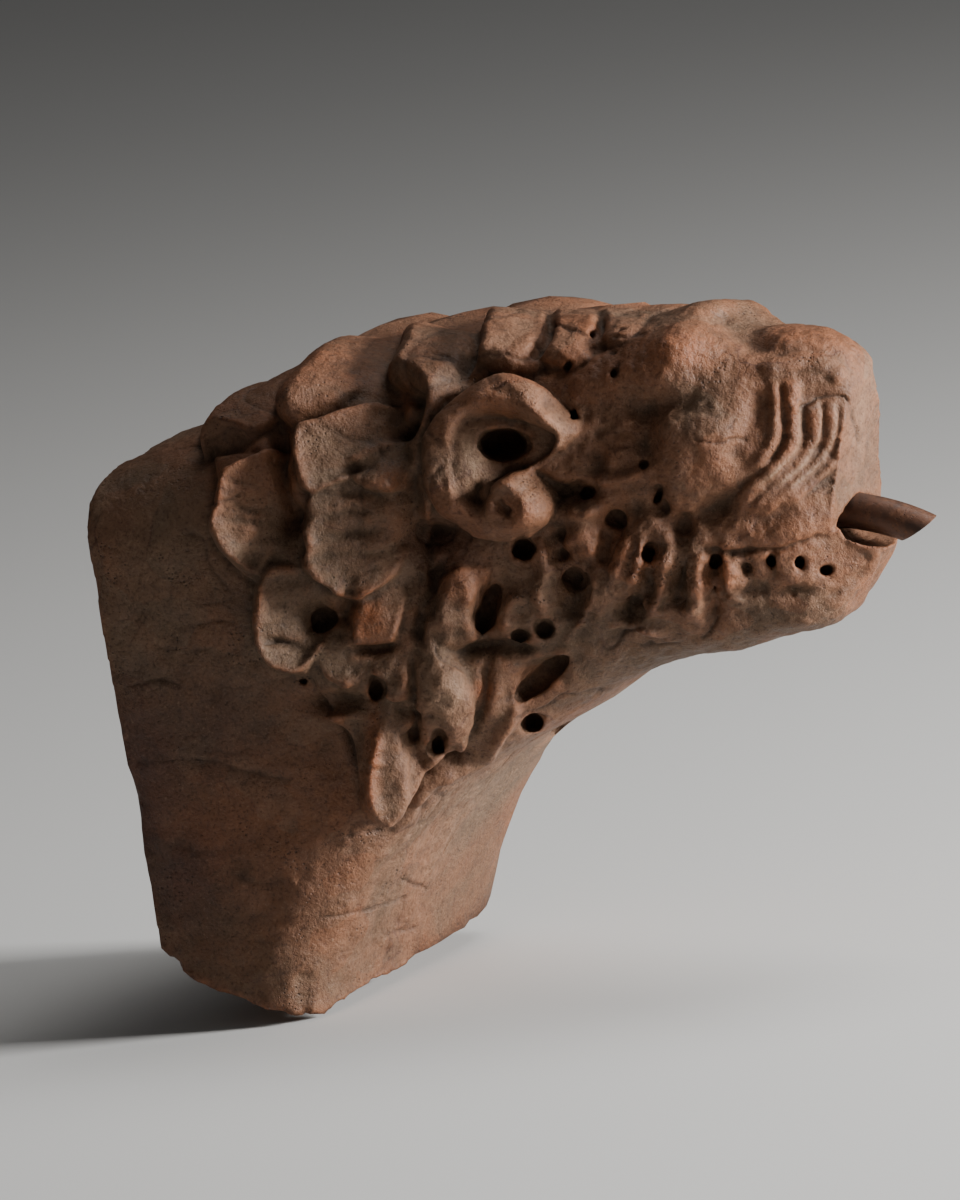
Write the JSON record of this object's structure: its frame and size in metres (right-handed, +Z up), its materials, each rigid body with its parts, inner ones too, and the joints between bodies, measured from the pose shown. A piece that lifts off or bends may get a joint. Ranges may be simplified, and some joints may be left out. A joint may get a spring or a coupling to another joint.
{
  "type": "lion protome",
  "caption": "Carved stone lion's head and neck made to jut from a wall, with a lock-covered mane, spiral ear, snarling muzzle, drilled beard and the stub of an iron bar in its mouth.",
  "frame": {"origin": "on the flat wall face at the back of the neck, in the middle plane of the head and near the middle of the face's height", "axes": "+X out of the wall, the way the lion looks; +Z up; +Y to the lion's left"},
  "size_m": [0.4898, 0.299, 0.4055],
  "materials": {
    "red_marble": "weathered, polished on the high points",
    "rusted_iron": "rusted"
  },
  "bodies": {
    "root": {"lion_stone": "red_marble", "iron_bar": "rusted_iron"}
  },
  "joints": []
}
